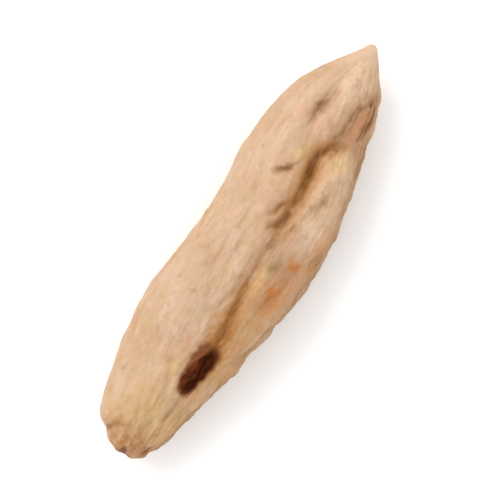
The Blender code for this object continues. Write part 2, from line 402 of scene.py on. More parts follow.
def broken_fibres(along, half_width, angle):
    """How far each point of the blunt end stands back where the thin root tore off."""
    torn = np.zeros(along.shape)
    for index in zip(*np.nonzero(along < TEAR_REACH)):
        y, z = half_width[index] * math.cos(angle[index]), half_width[index] * math.sin(angle[index])
        coarse = noise.noise(Vector((y, z, TEAR_SLICE)) / TEAR_SPACING)
        fine = noise.noise(Vector((y, z, FINE_TEAR_SLICE)) * FINE_TEAR_RATE / TEAR_SPACING)
        depth = TEAR_DEPTH * (TEAR_MIDDLE + coarse + FINE_TEAR_SHARE * fine)
        torn[index] = depth * (1.0 - along[index] / TEAR_REACH)
    return np.maximum(torn, 0.0)


def neck_depth(along, angle):
    """How far the surface draws in behind the blunt end, in a ring that isn't quite straight."""
    from_neck = along - NECK - NECK_SWAY * np.sin(2.0 * angle)
    return NECK_DEPTH * np.exp(-((from_neck / NECK_HALF_LENGTH) ** 2))


def scar_depth(along, half_width, angle):
    """How far the middle of the blunt end is sunk and torn."""
    cup = np.where(along < SCAR_REACH, SCAR_DEPTH * np.exp(-((half_width / SCAR_RADIUS) ** 2)), 0.0)
    return cup + broken_fibres(along, half_width, angle)


print("scar, mm across:", 2.0 * SCAR_RADIUS)

# %% Where the root is level and rough, and where shade is painted on its flank
BELLY_START = 8.0
BELLY_END = 17.0
BELLY_FADE = 2.0
SMOOTH_LOBE_SHARE = 0.45
# Where the painted shade on the right flank fades in, is full, holds and is gone, in mm along
FLANK_SHADE_STRETCH = (0.3, 1.2, 19.0, 24.0)
# Where each share rises from 0 to 1, by the sine or the cosine of the angle round the root
BELLY_RISE = (0.86, 0.96)
SMOOTH_LOBE_RISE_UP = (-0.5, 0.0)
SMOOTH_LOBE_RISE_LEFT = (-0.2, 0.3)
FLANK_SHADE_RISE = (0.86, 0.99)


def level_belly(along, angle):
    """1 on the level patch of the belly, fading to 0 around it."""
    start = eased(along, BELLY_START, BELLY_START + BELLY_FADE)
    end = eased(-along, -BELLY_END, BELLY_FADE - BELLY_END)
    return start * end * eased(-np.sin(angle), *BELLY_RISE)


def painted_shade_on_flank(along, angle):
    """1 low on the right flank, away from both ends: where shade is painted on the side that faces away from the
    light.
    """
    fade_in, full, hold, gone = FLANK_SHADE_STRETCH
    return eased(-np.cos(angle), *FLANK_SHADE_RISE) * eased(along, fade_in, full) * eased(-along, -gone, -hold)


def roughness_share(angle, belly):
    """1 where the wrinkles have their full height, less on the smooth broad lobe, 0 on the level belly."""
    smooth_lobe = eased(np.sin(angle), *SMOOTH_LOBE_RISE_UP) * eased(np.cos(angle), *SMOOTH_LOBE_RISE_LEFT)
    return (1.0 - belly) * (1.0 - (1.0 - SMOOTH_LOBE_SHARE) * smooth_lobe)


print("level belly, mm long:", BELLY_END - BELLY_START)

# %% Shape the bare root
RINGS = 440
SEGMENTS = 222
THICKNESS_SHARE = 0.80
SECTION_SQUARENESS = 2.2
RIGHT_LOBE_DROP = 0.30
# Where each share rises from 0 to 1: by half-width, by sine and cosine of the angle, and by depth
PLUMP_RISE = (0.2, 2.2)
UPPER_RISE = (0.05, 0.45)
RIGHT_LOBE_RISE = (0.0, 0.7)
SUNKEN_RISE = (0.0, 0.40)


def bare_root(ring_count, segment_count):
    """The points of the bare root, ring by ring, and the attributes that go with them."""
    ring_along, ring_centre, ring_half_width = spindle(ring_count)
    angle = ring_angles(ring_along, ring_centre, ring_half_width, segment_count)
    along = np.broadcast_to(ring_along[:, None], angle.shape)
    half_width = np.broadcast_to(ring_half_width[:, None], angle.shape)
    power = 2.0 / SECTION_SQUARENESS
    out_across = np.sign(np.cos(angle)) * np.abs(np.cos(angle)) ** power
    out_up = np.sign(np.sin(angle)) * np.abs(np.sin(angle)) ** power

    plumpness = eased(half_width, *PLUMP_RISE)
    upper = eased(np.sin(angle), *UPPER_RISE)
    belly = level_belly(along, angle)
    rough = roughness_share(angle, belly)
    swell = wrinkle_height(along, angle) * rough + lump_height(along, angle) * (1.0 - belly)
    swell = plumpness * (swell - valley_depth(along, angle)) - neck_depth(along, angle)

    across = ring_centre[:, None] + (half_width + swell) * out_across
    height = axis_height(along) + (THICKNESS_SHARE * half_width + swell) * out_up
    height -= plumpness * RIGHT_LOBE_DROP * upper * eased(-np.cos(angle), *RIGHT_LOBE_RISE)
    turned = angle + WRINKLE_TWIST * along
    unrolled = np.stack([along, SKIN_RADIUS * np.cos(turned), SKIN_RADIUS * np.sin(turned)], axis=-1)
    return {
        "points": np.stack([along + scar_depth(along, half_width, angle), across, height], axis=-1),
        "plan": np.stack([along, across, np.zeros_like(along)], axis=-1),
        "unrolled": unrolled,
        "upper": upper,
        "plump": plumpness,
        "rough": plumpness * rough,
        "scar": np.where(along < SCAR_REACH, np.exp(-((half_width / SCAR_WIDTH) ** 4)), 0.0),
        "sunken": eased(-swell, *SUNKEN_RISE),
        # Painted shade on the lower right flank, which faces away from the light
        "flank_painted_shade": painted_shade_on_flank(along, angle),
    }


form = bare_root(RINGS, SEGMENTS)
print("bare root, mm high:", form["points"][..., 2].max().round(2))

# %% Turn it into a mesh of quads
def on_mesh(rows):
    """The rows of all rings as one list, with a single row for each end."""
    return np.concatenate([rows[:1, 0], rows[1:-1].reshape(-1, *rows.shape[2:]), rows[-1:, 0]])


def ring_faces(ring_count, segment_count):
    """Quads between the rings and a fan of triangles at each end, all facing out."""
    blunt_pole, tip_pole = 0, (ring_count - 2) * segment_count + 1
    last = tip_pole - segment_count
    faces = []
    for i in range(segment_count):
        j = (i + 1) % segment_count
        faces.append((blunt_pole, 1 + j, 1 + i))
        for low in range(1, last, segment_count):
            faces.append((low + i, low + j, low + segment_count + j, low + segment_count + i))
        faces.append((last + i, last + j, tip_pole))
    return faces


def store(mesh, name, values):
    """Puts one number or one vector on each point of a mesh, under a name."""
    kind, field = ("FLOAT_VECTOR", "vector") if values.ndim == 2 else ("FLOAT", "value")
    attribute = mesh.attributes.new(name, kind, "POINT")
    attribute.data.foreach_set(field, np.ascontiguousarray(values, dtype=np.float32).ravel())


bare_mesh = bpy.data.meshes.new("bare_root")
bare_mesh.from_pydata(on_mesh(form["points"]).tolist(), [], ring_faces(RINGS, SEGMENTS))
for attribute_name in form:
    if attribute_name != "points":
        store(bare_mesh, attribute_name, on_mesh(form[attribute_name]))
bare = bpy.data.objects.new("bare_root", bare_mesh)
bpy.context.scene.collection.objects.link(bare)
print("bare root:", len(bare_mesh.vertices), "points")

# %% [markdown]
# ## Paths on the plan
#
# The crease and the lesser folds are given to Geometry Nodes as thin lines: meshes with edges only, drawn on the
# plan. Each point of a line carries the depth, the stain, the half-width and the heading there, so one node group
# can carve any of them. Curve objects would do too, but a mesh line can carry named numbers of its own.

# %% Where the folds lie
# Each fold: half-width, then along, across, depth and stain at its points
FOLDS = (
    (0.20, ((16.4, 1.30, 0.04, 0.0), (16.9, 0.98, 0.26, 0.7), (17.2, 0.68, 0.34, 1.0), (17.6, 0.46, 0.16, 0.3),
            (18.4, 0.25, 0.05, 0.0))),
    (0.26, ((19.5, 1.00, 0.05, 0.0), (20.3, 0.92, 0.22, 0.5), (20.9, 0.80, 0.34, 0.8), (21.5, 0.64, 0.16, 0.4),
            (22.4, 0.46, 0.03, 0.0))),
    (0.24, ((13.8, 0.00, 0.06, 0.1), (14.2, -0.14, 0.22, 0.9), (14.8, -0.40, 0.24, 0.9), (15.3, -0.64, 0.06, 0.1))),
    (0.24, ((14.5, 0.48, 0.05, 0.0), (15.0, 0.18, 0.22, 0.8), (15.5, -0.10, 0.24, 0.9), (15.9, -0.34, 0.10, 0.2))),
    (0.20, ((19.4, -0.66, 0.20, 0.6), (20.3, -0.82, 0.28, 0.7), (21.3, -0.90, 0.24, 0.6), (22.1, -1.22, 0.20, 0.6),
            (22.7, -1.56, 0.05, 0.1))),
    (0.26, ((19.9, -1.50, 0.05, 0.3), (20.6, -1.76, 0.12, 0.5), (21.4, -1.76, 0.10, 0.5), (22.3, -1.50, 0.02, 0.1))),
    (0.40, ((9.2, -1.35, 0.02, 0.0), (11.0, -1.95, 0.20, 0.2), (13.2, -2.30, 0.18, 0.1), (15.2, -2.15, 0.02, 0.0))),
    (0.26, ((13.4, -0.80, 0.05, 0.0), (14.3, -1.02, 0.14, 0.4), (15.4, -1.36, 0.08, 0.0))),
    (0.30, ((12.0, -0.95, 0.06, 0.1), (12.5, -1.35, 0.20, 0.4), (12.9, -1.75, 0.10, 0.1))),
    (0.26, ((15.5, -1.30, 0.04, 0.0), (16.3, -1.68, 0.18, 0.4), (17.4, -1.95, 0.14, 0.2), (18.4, -1.80, 0.02, 0.0))),
    (0.70, ((13.0, 3.10, 0.12, 0.0), (14.1, 2.40, 0.12, 0.0), (15.1, 1.70, 0.04, 0.0))),
    (0.22, ((1.0, 2.20, 0.20, 0.8), (1.45, 1.60, 0.14, 0.4), (1.5, 0.60, 0.10, 0.0), (0.95, -0.30, 0.16, 0.6))),
    (0.26, ((8.4, 1.20, 0.02, 0.0), (10.6, 0.95, 0.12, 0.1), (12.6, 0.85, 0.14, 0.1), (14.2, 0.60, 0.02, 0.0))),
)
print("folds:", len(FOLDS))

# %% Make the lines that the nodes will carve
STEPS_PER_SPAN = 24


def drawn_line(name, paths):
    """A mesh of edges only, along smooth curves through (along, across, depth, stain, half-width) points."""
    points, edges = [], []
    carried = {"depth": [], "stain": [], "half_width": [], "heading": []}
    for path in paths:
        rows = np.array(path).T
        travelled = distances_on(rows[0], rows[1])
        steps = (len(path) - 1) * STEPS_PER_SPAN + 1
        at = np.interp(np.arange(steps) / STEPS_PER_SPAN, np.arange(len(path)), travelled)
        x, y, depth, stain, half_width = (smooth_through(travelled, row, at) for row in rows)
        first = len(points)
        points += [(px, py, 0.0) for px, py in zip(x, y)]
        edges += [(first + k, first + k + 1) for k in range(steps - 1)]
        heading = np.stack([np.gradient(x), np.gradient(y), np.zeros(steps)], axis=-1)
        for attribute_name, values in zip(carried, (depth, stain, half_width, heading)):
            carried[attribute_name] += list(values)
    mesh = bpy.data.meshes.new(name)
    mesh.from_pydata(points, edges, [])
    for attribute_name, values in carried.items():
        store(mesh, attribute_name, np.array(values))
    line = bpy.data.objects.new(name, mesh)
    bpy.context.scene.collection.objects.link(line)
    return line


crease_line = drawn_line("crease_line", [CREASE])
fold_lines = drawn_line("fold_lines", [[(*point, half_width) for point in path] for half_width, path in FOLDS])
print("lines:", len(crease_line.data.edges), "and", len(fold_lines.data.edges), "edges")

# %% [markdown]
# ## Small helpers for node trees
#
# A node tree written in code soon drowns in links. A few helpers keep it short: the first gives a socket a value
# or joins it to another socket, and the others add a node, feed it and hand back its output, so that a formula
# reads nearly as it would on paper.

# %% Helpers to write nodes as formulas
def feed(tree, socket, value):
    """Joins a socket to another node's output, or gives it a plain value."""
    if isinstance(value, bpy.types.NodeSocket):
        tree.links.new(value, socket)
    else:
        socket.default_value = value


def add(tree, kind, settings=None, **inputs):
    """A node with its settings made and its inputs fed; an underscore in an input's name stands for a space."""
    node = tree.nodes.new(kind)
    for key, value in (settings or {}).items():
        setattr(node, key, value)
    for key, value in inputs.items():
        feed(tree, node.inputs[key.replace("_", " ")], value)
    return node


def maths(tree, operation, *values):
    """One Math node; returns its result."""
    node = add(tree, "ShaderNodeMath", {"operation": operation})
    for socket, value in zip(node.inputs, values):
        feed(tree, socket, value)
    return node.outputs["Value"]


def vector_maths(tree, operation, *values, result="Vector", scale=None):
    """One Vector Math node; returns the result named."""
    node = add(tree, "ShaderNodeVectorMath", {"operation": operation})
    for socket, value in zip(node.inputs, values):
        feed(tree, socket, value)
    if scale is not None:
        feed(tree, node.inputs["Scale"], scale)
    return node.outputs[result]


def named(tree, name, kind="FLOAT"):
    """Reads a named attribute."""
    return add(tree, "GeometryNodeInputNamedAttribute", {"data_type": kind}, Name=name).outputs["Attribute"]


def group_node(tree, group, **inputs):
    """A node group placed in a tree, with its inputs fed."""
    kind = "GeometryNodeGroup" if group.bl_idname == "GeometryNodeTree" else "ShaderNodeGroup"
    return add(tree, kind, {"node_tree": group}, **inputs).outputs


print("helpers: feed, add, maths, vector_maths, named, group_node")

# %% Helpers for new groups and for noise
FLOAT, VECTOR, GEOMETRY = "NodeSocketFloat", "NodeSocketVector", "NodeSocketGeometry"
NOISE_MIDDLE = 0.5


def new_group(name, kind, inputs, outputs):
    """An empty node group with named sockets; an input has either a number to start from or a socket type."""
    tree = bpy.data.node_groups.new(name, kind)
    for socket_name, value in inputs.items():
        socket_type = FLOAT if isinstance(value, float) else value
        socket = tree.interface.new_socket(socket_name, in_out="INPUT", socket_type=socket_type)
        if isinstance(value, float):
            socket.default_value = value
    for socket_name, socket_type in outputs.items():
        tree.interface.new_socket(socket_name, in_out="OUTPUT", socket_type=socket_type)
    return tree, tree.nodes.new("NodeGroupInput").outputs, tree.nodes.new("NodeGroupOutput").inputs


def noise_shift(tree, place, reach, **settings):
    """A small shift for each place, which wanders with the place."""
    wander = add(tree, "ShaderNodeTexNoise", Vector=place, **settings).outputs["Color"]
    wander = vector_maths(tree, "SUBTRACT", wander, (NOISE_MIDDLE, NOISE_MIDDLE, NOISE_MIDDLE))
    return vector_maths(tree, "SCALE", wander, scale=reach)


def seeded_noise(tree, place, seed, **settings):
    """Noise from 0 to 1 that is another one for each seed."""
    return add(tree, "ShaderNodeTexNoise", {"noise_dimensions": "4D"}, Vector=place, W=seed, **settings).outputs[0]


print("socket types:", FLOAT, VECTOR, GEOMETRY)

# %% [markdown]
# ## A node group that carves beside a line
#
# For each point of the root the group asks how far the line is, on which side of it the point lies, and how deep
# and how stained the line is there. The drop is deepest on the line and dies away from it, faster on the left than
# on the right, because the broad lobe overhangs the crease. The point is shifted a little by noise before it is
# measured, so no fold runs as smoothly as a wire.

# %% Node group: groove beside a line
# A Noise Texture stays near its middle, so a shift that is read from it is stretched by this
NOISE_STRETCH = 4.0
CORE_TIGHTNESS = 1.4
HALO_SPREAD = 1.5

groove_group, given, gives = new_group(
    "groove_beside_line",
    "GeometryNodeTree",
    {"Line": GEOMETRY, "Place": VECTOR, "Left Width": 1.0, "Right Width": 1.0, "Sharpness": 1.2, "Wander": 0.2},
    {"Drop": FLOAT, "Core": FLOAT, "Halo": FLOAT},
)


def at_nearest(tree, line, index, name, kind):
    """The named number or vector of the line's point with that index."""
    settings = {"data_type": kind, "domain": "POINT"}
    value = named(tree, name, kind)
    return add(tree, "GeometryNodeSampleIndex", settings, Geometry=line, Value=value, Index=index).outputs["Value"]


def bell(tree, value, power):
    """1 where the value is 0, falling to nothing on both sides; a high power gives a flat top and steep sides."""
    return maths(tree, "EXPONENT", maths(tree, "MULTIPLY", maths(tree, "POWER", value, power), -1.0))


tree, line = groove_group, given["Line"]
wander_reach = maths(tree, "MULTIPLY", given["Wander"], NOISE_STRETCH)
wander = noise_shift(tree, given["Place"], wander_reach, Scale=1.1, Detail=3.0, Roughness=0.6)
place = vector_maths(tree, "ADD", given["Place"], vector_maths(tree, "MULTIPLY", wander, (1.0, 1.0, 0.0)))
nearest = add(tree, "GeometryNodeProximity", {"target_element": "EDGES"}, Source_Position=place)
tree.links.new(line, nearest.inputs[0])
index = add(tree, "GeometryNodeSampleNearest", {"domain": "POINT"}, Geometry=line, Sample_Position=place).outputs[0]
on_line = ("depth", "stain", "half_width")
depth, stain, half_width = (at_nearest(tree, line, index, name, "FLOAT") for name in on_line)
heading = at_nearest(tree, line, index, "heading", "FLOAT_VECTOR")
off_line = vector_maths(tree, "SUBTRACT", place, nearest.outputs["Position"])
turn = add(tree, "ShaderNodeSeparateXYZ", Vector=vector_maths(tree, "CROSS_PRODUCT", heading, off_line)).outputs["Z"]
widths = {"False": given["Right Width"], "True": given["Left Width"]}
is_left = maths(tree, "GREATER_THAN", turn, 0.0)
side_width = add(tree, "GeometryNodeSwitch", {"input_type": "FLOAT"}, Switch=is_left, **widths).outputs[0]
reach = maths(tree, "DIVIDE", nearest.outputs["Distance"], maths(tree, "MULTIPLY", half_width, side_width))
tree.links.new(maths(tree, "MULTIPLY", depth, bell(tree, reach, given["Sharpness"])), gives["Drop"])
core = bell(tree, maths(tree, "MULTIPLY", reach, CORE_TIGHTNESS), 2.0)
halo = bell(tree, maths(tree, "DIVIDE", reach, HALO_SPREAD), 2.0)
tree.links.new(maths(tree, "MULTIPLY", stain, core), gives["Core"])
tree.links.new(maths(tree, "MULTIPLY", stain, halo), gives["Halo"])
print("groove_beside_line:", len(tree.nodes), "nodes")

# %% [markdown]
# ## A node group for hollows and stains
#
# The pit is an oval hole with steep sides, and the root's rusty patches are soft ovals too. Both are the same
# question, how far inside an oval a point lies, so one group answers it. A little noise on the place first keeps
# the edge from looking turned on a lathe.

# %% Node group: inside an oval
# Dividing by a great height leaves only the place on the plan
ANY_HEIGHT = 1000.0

oval_group, given, gives = new_group(
    "inside_oval",
    "GeometryNodeTree",
    {
        "Place": VECTOR,
        "Centre": VECTOR,
        "Half Length": 1.0,
        "Half Width": 1.0,
        "Turn": 0.0,
        "Steepness": 6.0,
        "Ragged": 0.05,
    },
    {"Inside": FLOAT},
)
tree = oval_group
ragged_reach = maths(tree, "MULTIPLY", given["Ragged"], NOISE_STRETCH)
shift = noise_shift(tree, given["Place"], ragged_reach, Scale=2.2, Detail=3.0)
from_centre = vector_maths(tree, "SUBTRACT", vector_maths(tree, "ADD", given["Place"], shift), given["Centre"])
turn_back = maths(tree, "MULTIPLY", given["Turn"], -1.0)
unturned = add(tree, "ShaderNodeVectorRotate", {"rotation_type": "Z_AXIS"}, Vector=from_centre, Angle=turn_back)
sides = add(tree, "ShaderNodeCombineXYZ", X=given["Half Length"], Y=given["Half Width"], Z=ANY_HEIGHT)
in_half_sides = vector_maths(tree, "DIVIDE", unturned.outputs[0], sides.outputs[0])
reach = vector_maths(tree, "LENGTH", in_half_sides, result="Value")
tree.links.new(bell(tree, reach, given["Steepness"]), gives["Inside"])
print("inside_oval:", len(tree.nodes), "nodes")

# %% [markdown]
# ## A node group for fine skin relief
#
# Between the large wrinkles the dry skin is drawn into fine ridges a few tenths of a millimetre apart, and into
# faint pebbles. The ridges are noise read on the unrolled skin, squeezed hard across the root and stretched along
# it. Folding the noise at its middle turns its soft waves into ridges with creased valleys.

# %% Node group: fine ridges and pebbles
WAVER_REACH = 1.4
RIDGE_STRETCH = 5.0

ridges_group, given, gives = new_group(
    "fine_ridges",
    "GeometryNodeTree",
    {"Unrolled": VECTOR, "Spacing": 0.5, "Length": 4.0, "Pebble Spacing": 0.6, "Seed": 1.0},
    {"Ridge": FLOAT, "Pebble": FLOAT},
)
tree = ridges_group
along_scale = maths(tree, "DIVIDE", 1.0, given["Length"])
round_scale = maths(tree, "DIVIDE", 1.0, given["Spacing"])
squeeze = add(tree, "ShaderNodeCombineXYZ", X=along_scale, Y=round_scale, Z=round_scale).outputs[0]
waver = noise_shift(tree, given["Unrolled"], WAVER_REACH, Scale=0.45, Detail=2.0)
ridge_place = vector_maths(tree, "MULTIPLY", vector_maths(tree, "ADD", given["Unrolled"], waver), squeeze)
ridge_noise = seeded_noise(tree, ridge_place, given["Seed"], Scale=1.0, Detail=2.5)
folded = maths(tree, "ABSOLUTE", maths(tree, "SUBTRACT", ridge_noise, NOISE_MIDDLE))
tree.links.new(maths(tree, "MINIMUM", maths(tree, "MULTIPLY", folded, RIDGE_STRETCH), 1.0), gives["Ridge"])
pebble_scale = maths(tree, "DIVIDE", 1.0, given["Pebble Spacing"])
pebble_noise = seeded_noise(tree, given["Unrolled"], given["Seed"], Scale=pebble_scale, Detail=2.0)
pebble = add(tree, "ShaderNodeMapRange", Value=pebble_noise, From_Min=0.30, From_Max=0.70)
tree.links.new(pebble.outputs["Result"], gives["Pebble"])
print("fine_ridges:", len(tree.nodes), "nodes")

# %% [markdown]
# ## The tree that finishes the root
#
# The main tree first adds the fine relief along the bare root's normals, as much out as in. It then lowers the
# upper side by the crease, the folds, the pit and the hollow beside the tip, and presses the belly level. This
# order matters: once the pit is cut, the normals of its walls lie flat, and the relief would tear its rim. The
# tree keeps what it knows, such as how deep in the pit a point lies, as attributes, because the skin's colour
# depends on the same things. Its last steps turn millimetres to metres, centre the root as the solid is, and set
# the material.

# %% The hollows that it cuts
# Each oval: centre along and across, half-length, half-width, turn in degrees, and a depth or a strength
PIT_HOLLOWS = (
    (5.18, -0.40, 0.84, 0.46, -4.0, 1.0),
    (5.75, -0.40, 0.80, 0.52, -8.0, 1.0),
    (6.45, -0.70, 0.80, 0.44, -10.0, 0.88),
)
PIT_DEPTH = 1.40
PIT_LEDGE = (6.60, -0.22, 0.90, 0.34, -10.0, 0.60)
TIP_HOLLOW = (21.05, -1.36, 1.20, 0.46, -12.0, 0.36)
HOLLOW_STEEPNESS = 4.0
LEDGE_STEEPNESS = 3.0
PIT_RAGGED = 0.07
HOLLOW_RAGGED = 0.08
CREASE_SOFTENING = 5
print("hollows:", len(PIT_HOLLOWS) + 2)

# %% [markdown]
# ## Stains, placed one by one
#
# The real root's patches of colour aren't spread by chance: rust lies on the narrow lobe, ochre runs from the pit
# into the crease, and dark scabs sit at the torn end. So each patch is an oval on the plan, read off the
# photograph, and all patches of one colour share a mask. Painting them by hand on an unwrapped image would be the
# other way, but a picture can't be changed by a number.

# %% Where each colour of stain lies, and one painted highlight
STAIN_STEEPNESS = 2.0
STAIN_RAGGED = 0.16
STAINS = {
    "tan": (
        (8.6, -1.60, 3.0, 0.66, -13.0, 0.9),
        (3.3, -0.75, 1.7, 0.32, -12.0, 0.9),
        (13.4, -3.0, 2.4, 0.5, 4.0, 0.7),
        (1.60, 2.25, 0.9, 0.50, 40.0, 0.8),
        (16.1, 1.35, 0.6, 0.32, -15.0, 0.6),
        (18.4, 1.50, 1.2, 0.25, -10.0, 0.4),
        (21.0, 1.35, 0.9, 0.25, -15.0, 0.4),
        (11.6, 0.10, 1.9, 0.30, 0.0, 0.4),
    ),
    "pale": (
        (22.9, 0.0, 1.9, 0.9, -8.0, 0.9),
        (22.9, -0.75, 1.1, 0.4, -30.0, 0.9),
        (16.6, -1.6, 2.4, 0.9, 4.0, 1.0),
        (14.8, -2.3, 1.2, 0.7, -10.0, 1.0),
        (17.5, 2.0, 3.0, 1.0, 0.0, 0.3),
    ),
    "rose": (
        (19.9, 0.40, 0.9, 0.30, 10.0, 1.0),
        (17.9, -1.00, 0.8, 0.28, 10.0, 1.0),
        (16.4, 0.45, 0.5, 0.22, 0.0, 0.9),
        (14.3, -1.3, 0.7, 0.4, 0.0, 0.6),
        (6.7, 0.75, 0.7, 0.35, 0.0, 0.7),
        (3.6, 1.0, 0.8, 0.45, 0.0, 0.5),
    ),
    "straw": (
        # The first straw oval is a painted highlight on the lit wall just below the crease; the rest are
        # straw-coloured skin
        (11.3, -0.88, 0.8, 0.26, -4.0, 1.0),
        (18.8, -1.5, 0.7, 0.45, 0.0, 0.8),
        (18.3, 0.55, 0.7, 0.25, 0.0, 0.8),
        (5.4, 0.60, 0.6, 0.40, 0.0, 0.7),
        (2.9, 0.70, 2.3, 1.70, 0.0, 0.45),
    ),
    "dusk": (
        (12.4, -1.38, 0.34, 0.44, 0.0, 0.9),
        (16.0, -1.7, 0.6, 0.4, 0.0, 0.4),
        (9.5, 1.0, 0.9, 0.35, 0.0, 0.4),
        (20.0, -0.95, 0.7, 0.14, -8.0, 0.8),
    ),
    "rust": (
        (11.20, -1.88, 1.05, 0.56, -8.0, 1.0),
        (13.00, -2.14, 0.50, 0.36, 0.0, 0.9),
        (14.10, -2.85, 1.50, 0.32, 2.0, 0.5),
        (11.80, -2.50, 1.50, 0.35, -6.0, 0.4),
    ),
    "ochre": (
        (8.10, -0.55, 1.60, 0.46, 0.0, 1.0),
        (9.20, -0.85, 1.50, 0.30, -4.0, 0.5),
        (0.70, 0.80, 1.00, 1.30, 0.0, 0.8),
        (1.50, 1.65, 0.35, 0.28, 0.0, 0.9),
        (0.50, 1.50, 0.50, 0.14, 50.0, 0.9),
    ),
    "hollow_brown": ((21.0, -1.36, 1.20, 0.42, -10.0, 1.0), (18.95, -0.36, 0.36, 0.22, -40.0, 0.9)),
    "scab": (
        (0.24, 0.74, 0.28, 0.24, 0.0, 1.0),
        (0.10, 0.80, 0.20, 0.50, 0.0, 0.6),
        (1.02, 2.08, 0.24, 0.18, 20.0, 0.7),
        (0.90, -0.38, 0.55, 0.13, -14.0, 0.7),
    ),
}
print("stains:", sum(len(patches) for patches in STAINS.values()))

# %% Main tree: its inputs, and helpers for its nodes
root_tree, given, gives = new_group(
    "dried_root",
    "GeometryNodeTree",
    {
        "Geometry": GEOMETRY,
        "Crease Line": "NodeSocketObject",
        "Fold Lines": "NodeSocketObject",
        "Crease Left Width": CREASE_LEFT_WIDTH,
        "Crease Right Width": CREASE_RIGHT_WIDTH,
        "Ridge Depth": 0.05,
        "Ridge Spacing": 0.5,
        "Ridge Length": 4.0,
        "Pebble Depth": 0.04,
        "Pebble Spacing": 0.7,
        "Seed": 3.0,
        "Skin": "NodeSocketMaterial",
    },
    {"Geometry": GEOMETRY},
)
tree = root_tree


def oval(tree, place, shape, steepness, ragged):
    """How far inside the given oval each place lies, from 0 to its last number."""
    x, y, half_length, half_width, turn_degrees, strength = shape
    sizes = {"Half_Length": half_length, "Half_Width": half_width, "Turn": math.radians(turn_degrees)}
    edge = {"Steepness": steepness, "Ragged": ragged}
    inside = group_node(tree, oval_group, Place=place, Centre=(x, y, 0.0), **sizes, **edge)
    return maths(tree, "MULTIPLY", inside["Inside"], strength)


def carve(tree, line, **settings):
    """The groove beside the line that an input of the tree names."""
    line_mesh = add(tree, "GeometryNodeObjectInfo", Object=line).outputs["Geometry"]
    return group_node(tree, groove_group, Line=line_mesh, **settings)


def keep(tree, geometry, name, value):
    """Stores a value on the points under a name and hands the geometry on."""
    kind = {"data_type": "FLOAT", "domain": "POINT"}
    return add(tree, "GeometryNodeStoreNamedAttribute", kind, Geometry=geometry, Name=name, Value=value).outputs[0]


print("dried_root:", len(tree.interface.items_tree), "sockets")

# %% Main tree: how far the upper side sinks
place = named(tree, "plan", "FLOAT_VECTOR")
upper = named(tree, "upper")
widths = {"Left_Width": given["Crease Left Width"], "Right_Width": given["Crease Right Width"]}
crease = carve(tree, given["Crease Line"], Place=place, Sharpness=1.1, Wander=0.10, **widths)
folds = carve(tree, given["Fold Lines"], Place=place)
crease_drop = add(tree, "GeometryNodeBlurAttribute", Value=crease["Drop"], Iterations=CREASE_SOFTENING).outputs[0]
wall = 1.0
for hollow in PIT_HOLLOWS:
    outside = maths(tree, "SUBTRACT", 1.0, oval(tree, place, hollow, HOLLOW_STEEPNESS, PIT_RAGGED))
    wall = maths(tree, "MULTIPLY", outside, wall)
pit = maths(tree, "SUBTRACT", 1.0, wall)
ledge = oval(tree, place, PIT_LEDGE, LEDGE_STEEPNESS, HOLLOW_RAGGED)
tip_hollow = oval(tree, place, TIP_HOLLOW, HOLLOW_STEEPNESS, HOLLOW_RAGGED)
pit_drop = maths(tree, "MAXIMUM", maths(tree, "MULTIPLY", pit, PIT_DEPTH), ledge)
drop = maths(tree, "ADD", maths(tree, "ADD", crease_drop, folds["Drop"]), pit_drop)
drop = maths(tree, "ADD", drop, tip_hollow)
drop = maths(tree, "MULTIPLY", drop, maths(tree, "MULTIPLY", upper, named(tree, "plump")))
print("dried_root:", len(tree.nodes), "nodes")

# %% Main tree: masks that the skin will read
masks = {
    "crease_core": crease["Core"],
    "crease_halo": crease["Halo"],
    "fold_core": folds["Core"],
    "fold_halo": folds["Halo"],
    "pit": pit,
    "ledge": maths(tree, "DIVIDE", ledge, PIT_LEDGE[-1]),
}
for stain_name, ovals in STAINS.items():
    masks[stain_name] = 0.0
    for patch in ovals:
        inside = oval(tree, place, patch, STAIN_STEEPNESS, STAIN_RAGGED)
        masks[stain_name] = maths(tree, "MAXIMUM", inside, masks[stain_name])
print("masks:", len(masks))

# %% Main tree: fine relief, then the drop, then the level belly
relief = group_node(
    tree,
    ridges_group,
    Unrolled=named(tree, "unrolled", "FLOAT_VECTOR"),
    Spacing=given["Ridge Spacing"],
    Length=given["Ridge Length"],
    Pebble_Spacing=given["Pebble Spacing"],
    Seed=given["Seed"],
)
geometry, outward = given["Geometry"], 0.0
for name, low_places in (("Ridge", "ridge_valley"), ("Pebble", "dimple")):
    centred = maths(tree, "SUBTRACT", relief[name], NOISE_MIDDLE)
    outward = maths(tree, "ADD", maths(tree, "MULTIPLY", centred, given[name + " Depth"]), outward)
    geometry = keep(tree, geometry, low_places, maths(tree, "SUBTRACT", 1.0, relief[name]))
outward = maths(tree, "MULTIPLY", outward, named(tree, "rough"))
for mask_name, mask in masks.items():
    geometry = keep(tree, geometry, mask_name, maths(tree, "MULTIPLY", mask, upper))
normal = tree.nodes.new("GeometryNodeInputNormal").outputs[0]
outward = vector_maths(tree, "SCALE", normal, scale=outward)
geometry = add(tree, "GeometryNodeSetPosition", Geometry=geometry, Offset=outward).outputs[0]
downward = add(tree, "ShaderNodeCombineXYZ", Z=maths(tree, "MULTIPLY", drop, -1.0)).outputs[0]
geometry = add(tree, "GeometryNodeSetPosition", Geometry=geometry, Offset=downward).outputs[0]

position = add(tree, "ShaderNodeSeparateXYZ", Vector=tree.nodes.new("GeometryNodeInputPosition").outputs[0]).outputs
above_table = maths(tree, "MAXIMUM", position["Z"], 0.0)
level = add(tree, "ShaderNodeCombineXYZ", X=position["X"], Y=position["Y"], Z=above_table).outputs[0]
geometry = add(tree, "GeometryNodeSetPosition", Geometry=geometry, Position=level).outputs[0]
print("dried_root:", len(tree.nodes), "nodes")

